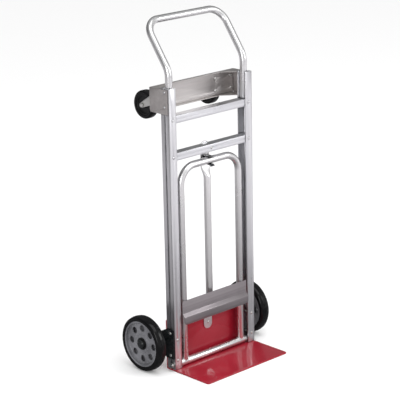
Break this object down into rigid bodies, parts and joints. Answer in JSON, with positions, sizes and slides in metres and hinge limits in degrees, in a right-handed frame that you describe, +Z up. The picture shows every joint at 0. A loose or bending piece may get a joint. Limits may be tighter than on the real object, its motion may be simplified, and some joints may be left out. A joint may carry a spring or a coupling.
{
  "type": "hand truck",
  "caption": "Upright aluminium hand truck with a bent tube handle, a red nose plate, a swing-down hoop, main wheels and rear swivel casters for use as a platform cart.",
  "frame": {"origin": "on the floor, on the centre line, at the nose plate's underside below the front faces of the side rails", "axes": "+X across the frame from the left rail to the right rail, +Y from the nose plate back to the operator, +Z up along the rails"},
  "size_m": [0.5694, 0.392, 1.2585],
  "materials": {
    "satin_aluminium": "satin extruded aluminium, mill finish",
    "tube_aluminium": "satin drawn aluminium tube",
    "sheet_aluminium": "dull warm-grey aluminium sheet",
    "rivet_aluminium": "bright aluminium rivet",
    "red_powder_coat": "glossy red powder coat on steel",
    "zinc_steel": "bright zinc-plated steel",
    "spring_steel": "dark spring steel",
    "bright_steel": "bright turned steel",
    "black_paint": "semi-gloss black paint on steel",
    "black_nylon": "black moulded nylon",
    "grey_wheel_paint": "grey painted pressed steel",
    "black_rubber": "black moulded rubber",
    "caster_core": "black moulded polypropylene"
  },
  "bodies": {
    "frame": {"rail_left": "satin_aluminium", "rail_right": "satin_aluminium", "crossbar_upper": "satin_aluminium", "crossbar_middle": "satin_aluminium", "crossbar_rivets": "rivet_aluminium", "nose_plate": "red_powder_coat", "nose_bolts": "zinc_steel", "handle_loop": "tube_aluminium", "caster_channel": "sheet_aluminium", "channel_rivets": "rivet_aluminium", "centre_strut": "tube_aluminium", "strut_fasteners": "zinc_steel", "hoop_clip": "spring_steel", "clip_rivet": "rivet_aluminium", "pivot_rod": "bright_steel", "pivot_nuts": "zinc_steel", "pivot_spacers": "bright_steel", "axle_bracket_left": "black_paint", "axle_bracket_right": "black_paint", "bracket_bolts": "zinc_steel", "axle": "bright_steel", "axle_spacers": "bright_steel", "axle_washers": "zinc_steel", "axle_caps": "black_paint", "caster_plate_left": "zinc_steel", "caster_plate_right": "zinc_steel", "caster_bolts": "zinc_steel", "caster_races": "zinc_steel", "kingpins": "zinc_steel"},
    "wheel_left": {"wheel_disc_left": "grey_wheel_paint", "wheel_hub_left": "black_nylon", "wheel_bearings_left": "bright_steel", "tyre_left": "black_rubber"},
    "caster_swivel_left": {"caster_fork_left": "zinc_steel", "caster_axle_left": "zinc_steel"},
    "caster_roller_left": {"caster_wheel_left": "caster_core", "caster_tyre_left": "black_rubber"},
    "wheel_right": {"wheel_disc_right": "grey_wheel_paint", "wheel_hub_right": "black_nylon", "wheel_bearings_right": "bright_steel", "tyre_right": "black_rubber"},
    "caster_swivel_right": {"caster_fork_right": "zinc_steel", "caster_axle_right": "zinc_steel"},
    "caster_roller_right": {"caster_wheel_right": "caster_core", "caster_tyre_right": "black_rubber"},
    "hoop": {"hoop_tube": "tube_aluminium", "hoop_cross_tube": "tube_aluminium", "hoop_bushes": "black_nylon", "hoop_plate": "satin_aluminium"}
  },
  "joints": [
    {"name": "hoop_swing", "type": "hinge", "parent": "frame", "child": "hoop", "pos_m": [0, 0.0152, 0.02], "axis": [1, 0, 0], "range_deg": [0, 84]},
    {"name": "wheel_spin_left", "type": "hinge", "parent": "frame", "child": "wheel_left", "pos_m": [-0.26, 0.0975, 0.1016], "axis": [1, 0, 0], "continuous": true},
    {"name": "caster_swivel_left", "type": "hinge", "parent": "frame", "child": "caster_swivel_left", "pos_m": [-0.15, 0.096, 0.982], "axis": [0, 1, 0], "continuous": true},
    {"name": "caster_spin_left", "type": "hinge", "parent": "caster_swivel_left", "child": "caster_roller_left", "pos_m": [-0.15, 0.173, 0.945], "axis": [1, 0, 0], "continuous": true},
    {"name": "wheel_spin_right", "type": "hinge", "parent": "frame", "child": "wheel_right", "pos_m": [0.26, 0.0975, 0.1016], "axis": [1, 0, 0], "continuous": true},
    {"name": "caster_swivel_right", "type": "hinge", "parent": "frame", "child": "caster_swivel_right", "pos_m": [0.15, 0.096, 0.982], "axis": [0, 1, 0], "continuous": true},
    {"name": "caster_spin_right", "type": "hinge", "parent": "caster_swivel_right", "child": "caster_roller_right", "pos_m": [0.15, 0.173, 0.945], "axis": [1, 0, 0], "continuous": true}
  ]
}
